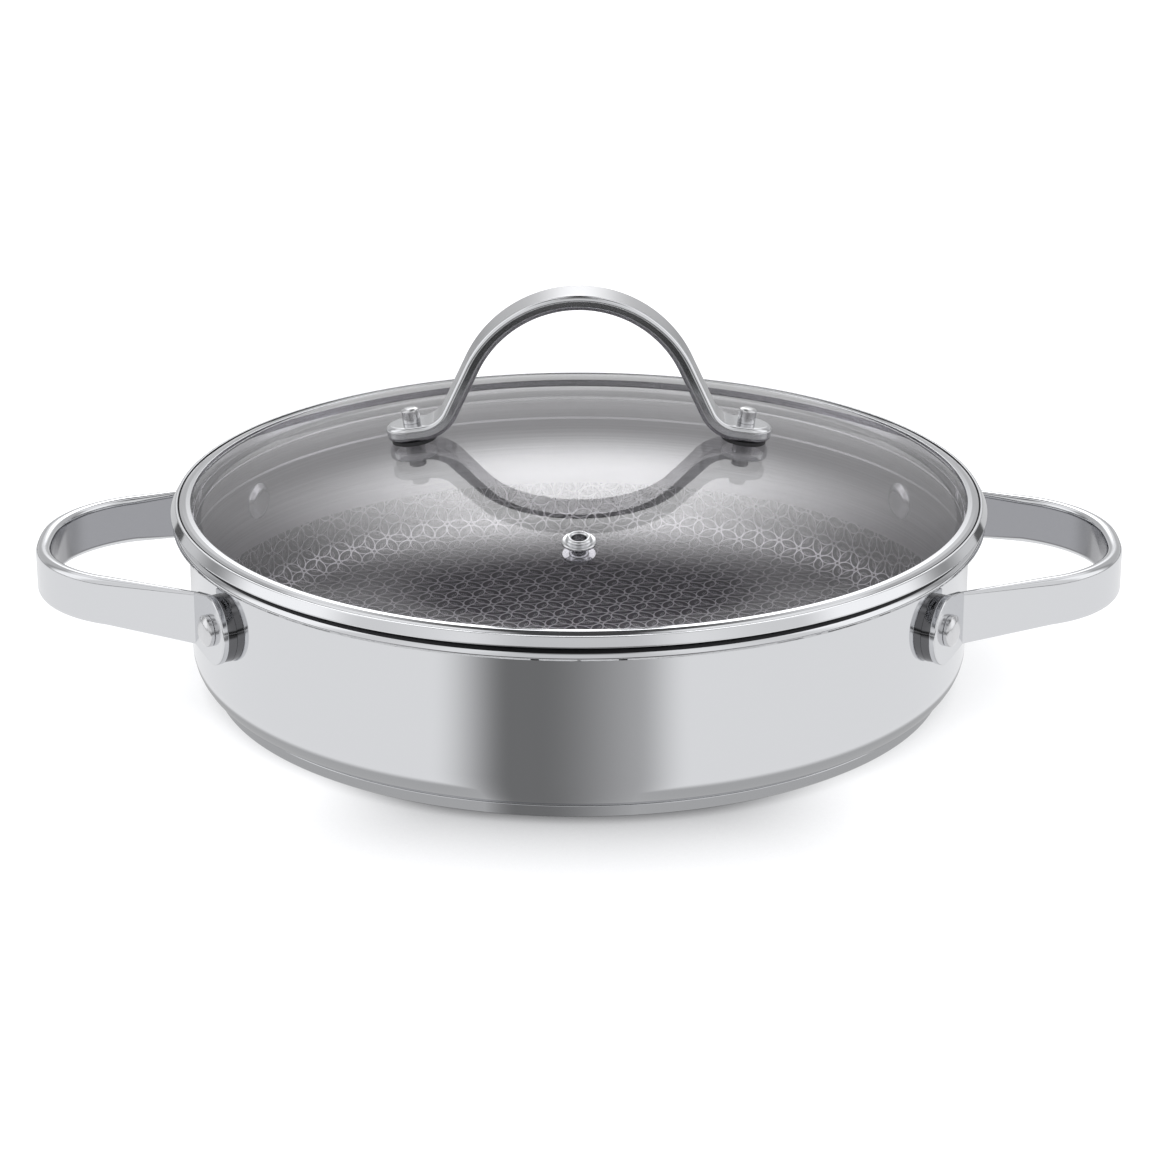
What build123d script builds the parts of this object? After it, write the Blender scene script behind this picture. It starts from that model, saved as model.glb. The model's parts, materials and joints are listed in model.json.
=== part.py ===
"""Two-handled 28 cm saute pan with a domed glass lid.

Millimetres and degrees. +Z is up, +X and -X are the two side handles, -Y is the front.
The origin is the centre of the base, on the surface that the pan stands on.
"""
import os
from math import asin, atan2, copysign, cos, degrees, radians, sin, sqrt

from build123d import *

os.makedirs("parts", exist_ok=True)

# Fits
seat_gap = 0.05             # between curved faces that seat on each other
hole_gap = 0.15             # round a shank, a bush or a tube in its hole

# Pan shell: one drawn steel pressing with a curled lip
wall_radius = 140.5         # outside of the straight wall
wall_thickness = 1.2
corner_radius = 13.0        # outside, from the wall into the bottom
pan_height = 64.6           # to the top of the curled lip
lip_overhang = 5.5          # of the lip past the wall

# Capsule base: an aluminium disc in a steel cap, brazed under the shell
base_inset = 7.7            # of the cap's side behind the wall
core_thickness = 2.6
cap_thickness = 0.6
cap_edge_radius = 1.2

# Side handles: a cast strap bent into a level loop, with a round foot at each end
handle_projection = 55.6    # of the grip past the wall
handle_end_radius = 108.0   # outside of the grip's long curve
handle_corner_radius = 44.5 # outside of the bend from the grip into a leg
handle_leg_angle = 20.6     # of a leg to the X axis
handle_drop = 21.2          # of the strap's middle under the lip
strap_height = 17.7
strap_thickness = 5.6
strap_edge_share = 0.43     # of the thickness, rounded off along each edge
foot_azimuth = 28.6         # of a foot, from the X axis round the pan
foot_radius = 12.3
foot_drop = 1.1             # of a foot's centre under the strap's middle
foot_thickness = 2.3
foot_neck_flare = 0.8       # of the strap's height, up and down, where it meets its foot
foot_neck_gap = 0.3         # round of the foot to the crease
foot_edge_radius = 0.5
pad_inset = 0.4             # of the pad's edge behind the foot's
pad_thickness = 2.65        # at the pad's centre, where the wall bulges most

# Handle rivets
rivet_shank_radius = 3.0
rivet_head_radius = 5.6     # outside the pan
rivet_head_height = 3.2
rivet_dome_height = 0.9     # of the crown on the outer head
rivet_inner_radius = 7.2    # inside the pan
rivet_inner_height = 2.4
rivet_inner_rim = 0.6       # straight edge under the inner crown

# Glass lid
glass_thickness = 4.0
glass_land_width = 3.6      # flat edge of the glass, from its ground edge inward
glass_shoulder_width = 5.7  # steeper band between the land and the dome
glass_shoulder_rise = 2.65
dome_rise = 20.7            # of the dome's top over the shoulder

# Lid rim: a rolled steel band clamped round the glass
lid_seat_gap = 0.2          # between the band and the curled lip
rim_sheet = 0.5
rim_overhang = 0.7          # of the bead past the lip
rim_bead_width = 3.1
rim_bead_wall = 0.65        # between the bead and the glass's edge
rim_bead_lift = 0.9         # of the bead's underside over the seat
rim_bead_round = 0.5
rim_flank_width = 1.9       # in plan, of the bead's sloping outer side
rim_crest_drop = 0.5        # from the leaf's inner edge out to the top of that side
rim_leaf_crown = 0.12       # bulge of the leaf's top between them
rim_clamp_width = 3.3       # of the leaf that lies on the glass
rim_skirt_gap = 0.5         # between the skirt and the pan's wall
rim_skirt_depth = 5.0

# Steam vent
vent_centre_radius = 93.0
vent_bore_radius = 2.5
vent_tube_wall = 0.8
vent_flange_width = 2.6     # past the tube
vent_flange_height = 1.1
vent_collar_width = 1.0     # past the tube
vent_collar_height = 2.5
vent_ring_width = 2.3       # past the tube
vent_ring_thickness = 1.0
vent_flare_height = 0.6

# Lid handle: a like strap as an arch on two flat lugs
lug_centre_radius = 59.0    # lid axis to each post
lug_round_offset = 1.4      # post to the centre of the lug's round end
arch_centre_rise = 6.8      # of the arch's centre over the top of the glass
arch_leg_angle = 65.0
arch_bend_radius = 12.8     # middle of the strap, from a leg into its lug
post_bend_gap = 0.6         # flat of the lug between its post and that bend
arch_strap_width = 16.0
arch_strap_thickness = 5.4
arch_edge_share = 0.315     # of the thickness, rounded off along each edge

# Lid handle fastening: a post on each lug, held by a screw from below through soft washers
screw_radius = 2.0
screw_head_radius = 4.6
screw_head_height = 2.6
screw_head_round = 1.0
screw_engagement = 4.0      # of the screw in the post, over the lug's top
screw_tip_gap = 0.8         # screw tip to the end of the post's bore
spigot_wall = 0.75          # of the post's spigot round the screw
spigot_end_gap = 0.4        # spigot end to the lug's underside
post_shoulder_width = 0.45  # of the post past its spigot
post_crown_height = 0.6     # solid top of the post, over its bore
post_edge_radius = 0.5
seat_washer_thickness = 1.3
under_washer_radius = 7.4
under_washer_thickness = 1.6
bush_wall = 1.35            # of the under washer's bush round the screw
bush_end_gap = 0.4          # bush end to the glass's top

# Places in the pan that follow from those
shell_bottom = cap_thickness + core_thickness
floor_height = shell_bottom + wall_thickness
wall_inner_radius = wall_radius - wall_thickness
lip_outer_radius = wall_radius + lip_overhang
curl_radius = (lip_outer_radius - wall_inner_radius) / 2
curl_inner_radius = curl_radius - wall_thickness
curl_axis_radius = wall_inner_radius + curl_radius
curl_axis_height = pan_height - curl_radius
bottom_flat_radius = wall_radius - corner_radius
corner_axis_height = shell_bottom + corner_radius
base_radius = wall_radius - base_inset

# Places in the side handles
handle_reach = wall_radius + handle_projection
handle_mid_height = pan_height - handle_drop
foot_mid_height = handle_mid_height - foot_drop
strap_edge_radius = strap_edge_share * strap_thickness
foot_neck_height = strap_height + 2 * foot_neck_flare
foot_neck_offset = foot_radius + foot_neck_gap
pad_radius = foot_radius - pad_inset
pad_outer = wall_radius + seat_gap + pad_thickness
foot_outer = pad_outer + foot_thickness
foot_hole_radius = rivet_shank_radius + hole_gap

# Places in the lid's rim and glass
seat_height = pan_height + lid_seat_gap
rim_outer_radius = lip_outer_radius + rim_overhang
rim_bead_inner_radius = rim_outer_radius - rim_bead_width
glass_edge_radius = rim_bead_inner_radius - rim_bead_wall - hole_gap
rim_top_inner_radius = glass_edge_radius - rim_clamp_width
glass_land_radius = glass_edge_radius - glass_land_width
glass_shoulder_radius = glass_land_radius - glass_shoulder_width
glass_land_bottom = seat_height + rim_sheet + seat_gap
glass_land_top = glass_land_bottom + glass_thickness
rim_top = glass_land_top + seat_gap + rim_sheet
dome_apex_height = glass_land_top + glass_shoulder_rise + dome_rise
dome_radius = (glass_shoulder_radius**2 + dome_rise**2) / (2 * dome_rise)
dome_inner_radius = dome_radius - glass_thickness
dome_centre_height = dome_apex_height - dome_radius

# Places on the lid
vent_tilt = degrees(asin(vent_centre_radius / dome_radius))
vent_tube_radius = vent_bore_radius + vent_tube_wall
vent_hole_radius = vent_tube_radius + hole_gap
vent_flange_radius = vent_tube_radius + vent_flange_width
vent_collar_radius = vent_tube_radius + vent_collar_width
vent_ring_radius = vent_tube_radius + vent_ring_width
lug_tilt = degrees(asin(lug_centre_radius / dome_radius))
arch_edge_radius = arch_edge_share * arch_strap_thickness
spigot_radius = screw_radius + spigot_wall
post_radius = spigot_radius + post_shoulder_width
post_bore_height = screw_engagement + screw_tip_gap
post_height = post_bore_height + post_crown_height
screw_hole_radius = screw_radius + hole_gap
seat_washer_radius = arch_strap_width / 2
bush_radius = screw_hole_radius + bush_wall
glass_hole_radius = bush_radius + hole_gap


def revolved(*edges):
    """Solid of revolution round Z from a closed outline drawn on the XZ plane."""
    return revolve(Plane.XZ * make_face(Wire(edges)), Axis.Z)


def polyline_solid(*points):
    """Solid of revolution round Z from straight lines between (radius, height) points."""
    return revolve(Plane.XZ * make_face(Polyline(*points, close=True)), Axis.Z)


def height_on_circle(radius, centre_height, at):
    return centre_height + sqrt(radius**2 - at**2)


# Pan body

def pan_shell():
    """Bottom, rounded corner, straight wall and lip, as one sheet of even thickness."""
    inner_corner = corner_radius - wall_thickness
    outline = revolved(
        Line((0, shell_bottom), (bottom_flat_radius, shell_bottom)),
        CenterArc((bottom_flat_radius, corner_axis_height), corner_radius, 270, 90),
        Line((wall_radius, corner_axis_height), (wall_radius, curl_axis_height)),
        CenterArc((curl_axis_radius, curl_axis_height), curl_inner_radius, 0, 180),
        Line((curl_axis_radius + curl_inner_radius, curl_axis_height),
             (lip_outer_radius, curl_axis_height)),
        CenterArc((curl_axis_radius, curl_axis_height), curl_radius, 0, 180),
        Line((wall_inner_radius, curl_axis_height), (wall_inner_radius, corner_axis_height)),
        CenterArc((bottom_flat_radius, corner_axis_height), inner_corner, 270, 90),
        Line((bottom_flat_radius, floor_height), (0, floor_height)),
        Line((0, floor_height), (0, shell_bottom)),
    )
    hole = Cylinder(foot_hole_radius, corner_radius, rotation=(0, 90, 0))
    return outline - [at * hole for at in foot_places(wall_radius)]


def corner_underside(at, clearance):
    """Height of the shell's rounded corner over the base, at a plan radius."""
    reach = max(at - bottom_flat_radius, 0)
    return corner_axis_height - sqrt((corner_radius + clearance) ** 2 - reach**2)


def base_core():
    """Heat-spreading disc, pressed up round the shell's corner at its edge."""
    edge = base_radius - cap_thickness - seat_gap
    middle = (bottom_flat_radius + edge) / 2
    return revolved(
        Line((0, cap_thickness), (edge, cap_thickness)),
        Line((edge, cap_thickness), (edge, corner_underside(edge, seat_gap))),
        ThreePointArc((edge, corner_underside(edge, seat_gap)),
                      (middle, corner_underside(middle, seat_gap)),
                      (bottom_flat_radius, corner_underside(bottom_flat_radius, seat_gap))),
        Line((bottom_flat_radius, corner_underside(bottom_flat_radius, seat_gap)),
             (0, corner_underside(bottom_flat_radius, seat_gap))),
        Line((0, corner_underside(bottom_flat_radius, seat_gap)), (0, cap_thickness)),
    )


def base_cap():
    """Steel cap round the disc, with its edge closed against the shell's corner."""
    inner = base_radius - cap_thickness
    return revolved(
        Line((0, 0), (base_radius - cap_edge_radius, 0)),
        CenterArc((base_radius - cap_edge_radius, cap_edge_radius), cap_edge_radius, 270, 90),
        Line((base_radius, cap_edge_radius), (base_radius, corner_underside(base_radius, seat_gap))),
        Line((base_radius, corner_underside(base_radius, seat_gap)),
             (inner, corner_underside(inner, seat_gap))),
        Line((inner, corner_underside(inner, seat_gap)), (inner, cap_thickness)),
        Line((inner, cap_thickness), (0, cap_thickness)),
        Line((0, cap_thickness), (0, 0)),
    )


# Side handles

def foot_places(radius):
    """Frames on the wall at the four feet, X outward: right rear, right front, left front, left rear."""
    azimuths = (foot_azimuth, -foot_azimuth, 180 + foot_azimuth, 180 - foot_azimuth)
    return [Rot(0, 0, azimuth) * Pos(radius, 0, foot_mid_height) for azimuth in azimuths]


def on_foot(radius, along):
    """Plan point at a radius on the rear right foot's axis and a step towards the grip."""
    turn = radians(foot_azimuth)
    return Vector(radius * cos(turn) + along * sin(turn), radius * sin(turn) - along * cos(turn))


def strap_section(centre, direction, middle_height, thickness, height, edge):
    plane = Plane(origin=(centre.X, centre.Y, middle_height), x_dir=(0, 0, 1), z_dir=direction)
    return plane * RectangleRounded(height, thickness, edge)


def side_handle():
    """The right handle: grip and corners swept, legs lofted thinner and taller to the feet."""
    leg = radians(handle_leg_angle)
    leg_direction = Vector(cos(leg), -sin(leg))
    leg_normal = Vector(sin(leg), cos(leg))
    crease = on_foot(foot_outer, foot_neck_offset)

    # The corner's centre lies one corner radius inside both the leg's outer line and the grip's arc.
    grip_centre = Vector(handle_reach - handle_end_radius, 0)
    to_corner = handle_end_radius - handle_corner_radius
    inside_leg = leg_normal.dot(crease - grip_centre) - handle_corner_radius
    corner_centre = (grip_centre + leg_normal * inside_leg
                     + leg_direction * sqrt(to_corner**2 - inside_leg**2))
    bend_angle = degrees(atan2(corner_centre.Y, corner_centre.X - grip_centre.X))

    middle_end = handle_end_radius - strap_thickness / 2
    middle_corner = handle_corner_radius - strap_thickness / 2
    corner_sweep = 90 - handle_leg_angle - bend_angle
    lift = Pos(0, 0, handle_mid_height)
    front_corner = (corner_centre.X, -corner_centre.Y)
    path = Wire([
        lift * CenterArc(front_corner, middle_corner, handle_leg_angle - 90, corner_sweep),
        lift * CenterArc(grip_centre, middle_end, -bend_angle, 2 * bend_angle),
        lift * CenterArc(corner_centre, middle_corner, bend_angle, corner_sweep),
    ])
    grip_end = corner_centre + leg_normal * middle_corner
    section = strap_section(Vector(grip_end.X, -grip_end.Y), Vector(cos(leg), sin(leg)),
                            handle_mid_height, strap_thickness, strap_height, strap_edge_radius)
    grip = sweep(section, path=path)

    leg_end = crease - leg_normal * (foot_thickness / 2)
    rear_leg = loft([
        strap_section(grip_end, leg_direction, handle_mid_height,
                      strap_thickness, strap_height, strap_edge_radius),
        strap_section(leg_end, leg_direction, foot_mid_height,
                      foot_thickness, foot_neck_height, strap_edge_share * foot_thickness),
    ])
    rear = rear_leg + foot_bend(crease, leg_normal) + foot_plate()
    return grip + rear + mirror(rear, about=Plane.XZ)


def foot_bend(crease, leg_normal):
    """Slice of a round that closes the outside of the bend between the leg and its foot."""
    turn = radians(foot_azimuth)
    foot_normal = Vector(cos(turn), sin(turn))
    leg_corner = crease - leg_normal * foot_thickness
    foot_corner = crease - foot_normal * foot_thickness
    middle = crease - (leg_normal + foot_normal).normalized() * foot_thickness
    slice_face = make_face(Wire([
        Line(crease, leg_corner),
        ThreePointArc(leg_corner, middle, foot_corner),
        Line(foot_corner, crease),
    ]))
    bottom = foot_mid_height - foot_neck_height / 2
    return Pos(0, 0, bottom) * extrude(slice_face, foot_neck_height)


def foot_plate():
    """Round foot with straight flanks that run out to the strap's full height."""
    neck = foot_neck_height / 2
    outline = make_hull([
        *CenterArc((0, 0), foot_radius, 0, 360).edges(),
        *Line((-foot_neck_offset, -neck), (-foot_neck_offset, neck)).edges(),
    ])
    plane = Plane(origin=(pad_outer, 0, 0), x_dir=(0, 1, 0), z_dir=(1, 0, 0))
    plate = extrude(plane * outline, foot_thickness)
    face_edges = plate.faces().sort_by(Axis.X)[-1].edges().filter_by(GeomType.CIRCLE)
    plate = fillet(face_edges, foot_edge_radius)
    hole = Cylinder(foot_hole_radius, foot_outer, rotation=(0, 90, 0))
    return foot_places(0)[0] * (plate - Pos(foot_outer, 0, 0) * hole)


def handle_pad():
    """Round spacer between a foot and the wall, hollowed to the wall's curve."""
    pad = Pos(wall_radius, 0, 0) * Cylinder(
        pad_radius, pad_outer - wall_radius, rotation=(0, 90, 0),
        align=(Align.CENTER, Align.CENTER, Align.MIN))
    behind = pad_radius**2 / wall_radius
    back = Pos(wall_radius - behind, 0, 0) * Cylinder(
        pad_radius, behind, rotation=(0, 90, 0), align=(Align.CENTER, Align.CENTER, Align.MIN))
    wall = Cylinder(wall_radius + seat_gap, 2 * foot_radius)
    hole = Pos(wall_radius, 0, 0) * Cylinder(foot_hole_radius, wall_radius, rotation=(0, 90, 0))
    return pad + back - wall - hole


def rivet():
    """Rivet on its own axis, X outward: tall outer head, shank, low crown inside the pan."""
    outer_seat = foot_outer + seat_gap
    crown_seat = outer_seat + rivet_head_height - rivet_dome_height
    inner_seat = sqrt(wall_inner_radius**2 - rivet_inner_radius**2) - seat_gap
    inner_rim = inner_seat - rivet_inner_rim
    inner_top = inner_seat - rivet_inner_height
    outline = Wire([
        Line((inner_top, 0), (outer_seat + rivet_head_height, 0)),
        crown(outer_seat + rivet_head_height, crown_seat, rivet_head_radius),
        Line((crown_seat, rivet_head_radius), (outer_seat, rivet_head_radius)),
        Line((outer_seat, rivet_head_radius), (outer_seat, rivet_shank_radius)),
        Line((outer_seat, rivet_shank_radius), (inner_seat, rivet_shank_radius)),
        Line((inner_seat, rivet_shank_radius), (inner_seat, rivet_inner_radius)),
        Line((inner_seat, rivet_inner_radius), (inner_rim, rivet_inner_radius)),
        crown(inner_top, inner_rim, rivet_inner_radius),
    ])
    return revolve(make_face(outline), Axis.X)


def crown(apex, rim, rim_radius):
    """Arc of a shallow sphere, from its apex on the X axis to its rim."""
    height = apex - rim
    sphere = (rim_radius**2 + height**2) / (2 * height)
    middle = apex - sphere + copysign(sqrt(sphere**2 - rim_radius**2 / 4), height)
    return ThreePointArc((apex, 0), (middle, rim_radius / 2), (rim, rim_radius))


# Lid

def lid_glass():
    """Tempered dome of even thickness: a sphere, a steeper shoulder and a flat land at the edge."""
    sphere_centre = Vector(0, dome_centre_height)
    shoulder = Vector(glass_shoulder_radius,
                      height_on_circle(dome_radius, dome_centre_height, glass_shoulder_radius))
    inner_shoulder = sphere_centre + (shoulder - sphere_centre) * (dome_inner_radius / dome_radius)
    down_slope = Vector(shoulder.Y - dome_centre_height, -shoulder.X).normalized()
    land_start = Vector(glass_land_radius, glass_land_top)
    drop = atan2(shoulder.Y - land_start.Y, land_start.X - shoulder.X)
    inner_land_start = Vector(glass_land_radius - glass_thickness * sin(drop) / (1 + cos(drop)),
                              glass_land_bottom)
    apex = Vector(0, dome_apex_height)
    inner_apex = Vector(0, dome_apex_height - glass_thickness)
    glass = revolved(
        RadiusArc(apex, shoulder, dome_radius),
        TangentArc(shoulder, land_start, tangent=down_slope),
        Line(land_start, (glass_edge_radius, glass_land_top)),
        Line((glass_edge_radius, glass_land_top), (glass_edge_radius, glass_land_bottom)),
        Line((glass_edge_radius, glass_land_bottom), inner_land_start),
        TangentArc(inner_shoulder, inner_land_start, tangent=down_slope),
        RadiusArc(inner_apex, inner_shoulder, dome_inner_radius),
        Line(inner_apex, apex),
    )
    lug_hole = Cylinder(glass_hole_radius, 4 * glass_thickness)
    vent_hole = Cylinder(vent_hole_radius, 4 * glass_thickness)
    return glass - [on_lug(0) * lug_hole, mirror(on_lug(0) * lug_hole, about=Plane.YZ),
                    on_vent(0) * vent_hole]


def lid_rim():
    """Channel that clamps the glass, outer bead, and a skirt that centres the lid in the pan."""
    skirt_outer = wall_inner_radius - rim_skirt_gap
    skirt_inner = skirt_outer - rim_sheet
    channel = glass_edge_radius + hole_gap
    bead_bottom = seat_height + rim_bead_lift
    leaf_bottom = rim_top - rim_sheet
    leaf_top = seat_height + rim_sheet
    round_out = rim_outer_radius - rim_bead_round
    crest = (rim_outer_radius - rim_flank_width, rim_top - rim_crest_drop)
    leaf_middle = ((crest[0] + rim_top_inner_radius) / 2,
                   rim_top - rim_crest_drop / 2 + rim_leaf_crown)
    return revolved(
        Line((skirt_inner, seat_height - rim_skirt_depth), (skirt_outer, seat_height - rim_skirt_depth)),
        Line((skirt_outer, seat_height - rim_skirt_depth), (skirt_outer, seat_height)),
        Line((skirt_outer, seat_height), (rim_bead_inner_radius, seat_height)),
        Line((rim_bead_inner_radius, seat_height), (round_out, bead_bottom)),
        CenterArc((round_out, bead_bottom + rim_bead_round), rim_bead_round, 270, 90),
        Line((rim_outer_radius, bead_bottom + rim_bead_round), crest),
        ThreePointArc(crest, leaf_middle, (rim_top_inner_radius, rim_top)),
        Line((rim_top_inner_radius, rim_top), (rim_top_inner_radius, leaf_bottom)),
        Line((rim_top_inner_radius, leaf_bottom), (channel, leaf_bottom)),
        Line((channel, leaf_bottom), (channel, leaf_top)),
        Line((channel, leaf_top), (skirt_inner, leaf_top)),
        Line((skirt_inner, leaf_top), (skirt_inner, seat_height - rim_skirt_depth)),
    )


# Steam vent

def on_vent(height):
    """Frame on the dome's outside at the vent, Z along the glass's own normal."""
    return Pos(0, 0, dome_centre_height) * Rot(vent_tilt, 0, 0) * Pos(0, 0, dome_radius + height)


def vent_eyelet():
    """Flange and collar over the glass, with a tube through it that is flared below."""
    tube_end = -glass_thickness - vent_ring_thickness - 2 * seat_gap
    flare_end = tube_end - vent_flare_height
    collar_round = (vent_collar_radius - vent_bore_radius) / 2
    collar_side = vent_collar_height - collar_round
    flange_round = vent_flange_height / 2
    return on_vent(seat_gap) * revolved(
        Line((vent_bore_radius, collar_side), (vent_bore_radius, flare_end)),
        Line((vent_bore_radius, flare_end), (vent_collar_radius, flare_end)),
        Line((vent_collar_radius, flare_end), (vent_tube_radius, tube_end)),
        Line((vent_tube_radius, tube_end), (vent_tube_radius, 0)),
        Line((vent_tube_radius, 0), (vent_flange_radius - flange_round, 0)),
        CenterArc((vent_flange_radius - flange_round, flange_round), flange_round, 270, 180),
        Line((vent_flange_radius - flange_round, vent_flange_height),
             (vent_collar_radius, vent_flange_height)),
        Line((vent_collar_radius, vent_flange_height), (vent_collar_radius, collar_side)),
        CenterArc((vent_bore_radius + collar_round, collar_side), collar_round, 0, 180),
    )


def vent_ring():
    """Ring under the glass that the flared tube pulls up."""
    top = -glass_thickness - sag(vent_ring_radius)
    return on_vent(0) * polyline_solid(
        (vent_hole_radius, top), (vent_ring_radius, top),
        (vent_ring_radius, top - vent_ring_thickness), (vent_hole_radius, top - vent_ring_thickness))


def sag(radius):
    """How far the glass's hollow side falls away from a flat ring of this radius."""
    return dome_inner_radius - sqrt(dome_inner_radius**2 - radius**2)


# Lid handle and its fastening

def on_lug(height):
    """Frame on the dome's outside at the right lug, Z along the glass's own normal."""
    return Pos(0, 0, dome_centre_height) * Rot(0, lug_tilt, 0) * Pos(0, 0, dome_radius + height)


def arch_middle_line():
    """Right half of the strap's middle line on the XZ plane, from its lug's end to the top."""
    tilt, leg = radians(lug_tilt), radians(arch_leg_angle)
    lug_outward, lug_normal = Vector(cos(tilt), -sin(tilt)), Vector(sin(tilt), cos(tilt))
    leg_normal = Vector(sin(leg), cos(leg))
    post_middle = Vector(0, dome_centre_height) + lug_normal * (
        dome_radius + seat_washer_thickness + arch_strap_thickness / 2)
    bend_start = post_middle - lug_outward * (post_radius + post_bend_gap)
    bend_centre = bend_start + lug_normal * arch_bend_radius

    # The top's radius is its centre's distance from the leg's line, which leaves the bend's end.
    bend_end = bend_centre - leg_normal * arch_bend_radius
    top_centre = Vector(0, dome_apex_height + arch_centre_rise)
    arch_radius = leg_normal.dot(bend_end - top_centre)
    return Plane.XZ * Wire([
        Line(post_middle + lug_outward * lug_round_offset, bend_start),
        CenterArc(bend_centre, arch_bend_radius, 270 - arch_leg_angle, arch_leg_angle - lug_tilt),
        Line(bend_end, top_centre + leg_normal * arch_radius),
        CenterArc(top_centre, arch_radius, 90 - arch_leg_angle, arch_leg_angle),
    ])


def lid_handle():
    """Arch of rounded strap, swept from lug to lug, with the section turned round each lug's end."""
    half_line = arch_middle_line()
    path = Wire(half_line.edges() + mirror(half_line, about=Plane.YZ).edges())
    lug_middle = on_lug(seat_washer_thickness + arch_strap_thickness / 2) * Pos(lug_round_offset, 0, 0)
    across = Plane(origin=(0, 0, 0), x_dir=(0, 1, 0), z_dir=(1, 0, 0))
    section = across * RectangleRounded(arch_strap_width, arch_strap_thickness, arch_edge_radius)
    half_space = Pos(0, -arch_strap_width / 2, 0) * Box(
        arch_strap_width, arch_strap_width, 2 * arch_strap_thickness)
    lug_round = lug_middle * revolve(section & half_space, Axis.Z, 180)
    hole = on_lug(0) * Cylinder(spigot_radius + hole_gap, 4 * arch_strap_thickness)
    strap = sweep(lug_middle * section, path=path)
    for lug_piece in (lug_round, mirror(lug_round, about=Plane.YZ)):
        strap += lug_piece
    return strap - hole - mirror(hole, about=Plane.YZ)


def seat_washer():
    return on_lug(0) * polyline_solid(
        (screw_hole_radius, 0), (seat_washer_radius, 0),
        (seat_washer_radius, seat_washer_thickness), (screw_hole_radius, seat_washer_thickness))


def under_washer():
    """Soft washer under the glass with a bush that lines the hole."""
    top = -glass_thickness - sag(under_washer_radius)
    bottom = top - under_washer_thickness
    return on_lug(0) * polyline_solid(
        (screw_hole_radius, bottom), (under_washer_radius, bottom), (under_washer_radius, top),
        (bush_radius, top), (bush_radius, -bush_end_gap), (screw_hole_radius, -bush_end_gap))


def lid_post():
    """Threaded post: a plain stud on top of the lug with a spigot in the lug's hole."""
    lug_top = seat_washer_thickness + arch_strap_thickness
    spigot_end = seat_washer_thickness + spigot_end_gap
    bore_end = lug_top + post_bore_height
    top = lug_top + post_height
    return on_lug(0) * revolved(
        Line((0, bore_end), (screw_radius, bore_end)),
        Line((screw_radius, bore_end), (screw_radius, spigot_end)),
        Line((screw_radius, spigot_end), (spigot_radius, spigot_end)),
        Line((spigot_radius, spigot_end), (spigot_radius, lug_top)),
        Line((spigot_radius, lug_top), (post_radius, lug_top)),
        Line((post_radius, lug_top), (post_radius, top - post_edge_radius)),
        CenterArc((post_radius - post_edge_radius, top - post_edge_radius), post_edge_radius, 0, 90),
        Line((post_radius - post_edge_radius, top), (0, top)),
        Line((0, top), (0, bore_end)),
    )


def lid_screw():
    """Pan-head screw from below, up through both washers into the post."""
    seat = -glass_thickness - sag(under_washer_radius) - under_washer_thickness
    head_end = seat - screw_head_height
    tip = seat_washer_thickness + arch_strap_thickness + screw_engagement
    shank = screw_radius - seat_gap
    return on_lug(0) * revolved(
        Line((0, head_end), (screw_head_radius - screw_head_round, head_end)),
        CenterArc((screw_head_radius - screw_head_round, head_end + screw_head_round),
                  screw_head_round, 270, 90),
        Line((screw_head_radius, head_end + screw_head_round), (screw_head_radius, seat)),
        Line((screw_head_radius, seat), (shank, seat)),
        Line((shank, seat), (shank, tip)),
        Line((shank, tip), (0, tip)),
        Line((0, tip), (0, head_end)),
    )


# Assembly

nodes = {
    "pan_shell": pan_shell(),
    "base_core": base_core(),
    "base_cap": base_cap(),
    "lid_glass": lid_glass(),
    "lid_rim": lid_rim(),
    "vent_eyelet": vent_eyelet(),
    "vent_ring": vent_ring(),
    "lid_handle": lid_handle(),
}

right_handle = side_handle()
nodes["handle_right"] = right_handle
nodes["handle_left"] = mirror(right_handle, about=Plane.YZ)

corners = ("right_rear", "right_front", "left_front", "left_rear")
for corner, place in zip(corners, foot_places(0)):
    nodes[f"handle_pad_{corner}"] = place * handle_pad()
    nodes[f"handle_rivet_{corner}"] = place * rivet()

for name, make in (("lid_seat_washer", seat_washer), ("lid_under_washer", under_washer),
                   ("lid_post", lid_post), ("lid_screw", lid_screw)):
    right_piece = make()
    nodes[f"{name}_right"] = right_piece
    nodes[f"{name}_left"] = mirror(right_piece, about=Plane.YZ)

for node, shape in nodes.items():
    export_step(shape, f"parts/{node}.step")
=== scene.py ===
# %% [markdown]
# # A two-handled saute pan with a glass lid
#
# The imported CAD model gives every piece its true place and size. This file gives the
# pieces their finished surfaces, metals and glass, and sets up a small white studio.
# Lengths in the lists below are millimetres, as on a drawing; meshes are in metres.

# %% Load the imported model
import json

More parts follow.
